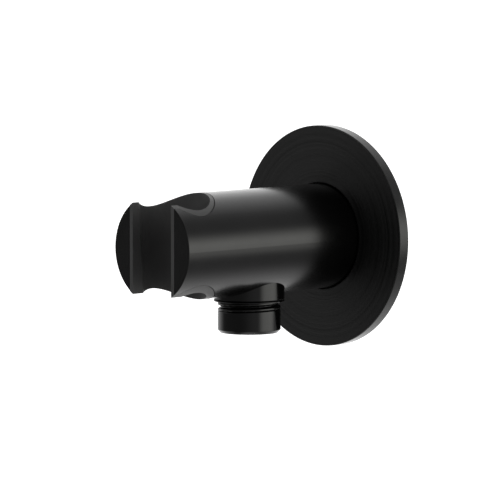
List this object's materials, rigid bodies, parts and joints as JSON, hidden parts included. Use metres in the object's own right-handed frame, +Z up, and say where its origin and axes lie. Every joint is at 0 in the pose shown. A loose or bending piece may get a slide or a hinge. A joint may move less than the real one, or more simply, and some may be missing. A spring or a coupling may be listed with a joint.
{
  "type": "hand shower bracket",
  "caption": "Round matt black wall outlet that holds a hand shower in an open tapered seat at its front, with a hose thread below and a round rosette at the wall.",
  "frame": {"origin": "centre of the inlet thread in the plane of the wall", "axes": "+Y goes into the wall along the inlet thread, so the holder's front points to -Y; +Z is up; +X is to the right seen from the room"},
  "size_m": [0.074, 0.096, 0.074],
  "materials": {
    "body_black": "satin black coating on turned brass",
    "outlet_black": "glossier black coating on turned brass",
    "liner_plastic": "dark grey moulded plastic, fine matt grain",
    "seal_rubber": "soft black rubber",
    "nipple_brass": "bare turned brass",
    "screw_steel": "stainless steel",
    "valve_plastic": "white moulded plastic"
  },
  "bodies": {
    "bracket": {"holder_body": "body_black", "holder_liner": "liner_plastic", "wall_rosette": "body_black", "wall_gasket": "seal_rubber", "inlet_nipple": "nipple_brass", "spigot_seal_ring": "seal_rubber", "grub_screw": "screw_steel", "outlet_nipple": "outlet_black", "outlet_seal": "seal_rubber", "valve_guide": "valve_plastic", "valve_spring": "screw_steel"},
    "poppet": {"valve_poppet": "valve_plastic", "valve_seal": "seal_rubber"}
  },
  "joints": [
    {"name": "poppet_slide", "type": "slide", "parent": "bracket", "child": "poppet", "axis": [0, 0, -1], "range_m": [0, 0.003], "stiffness_N_per_m": 100, "springref_m": -0.003, "deforming": ["valve_spring"]}
  ]
}
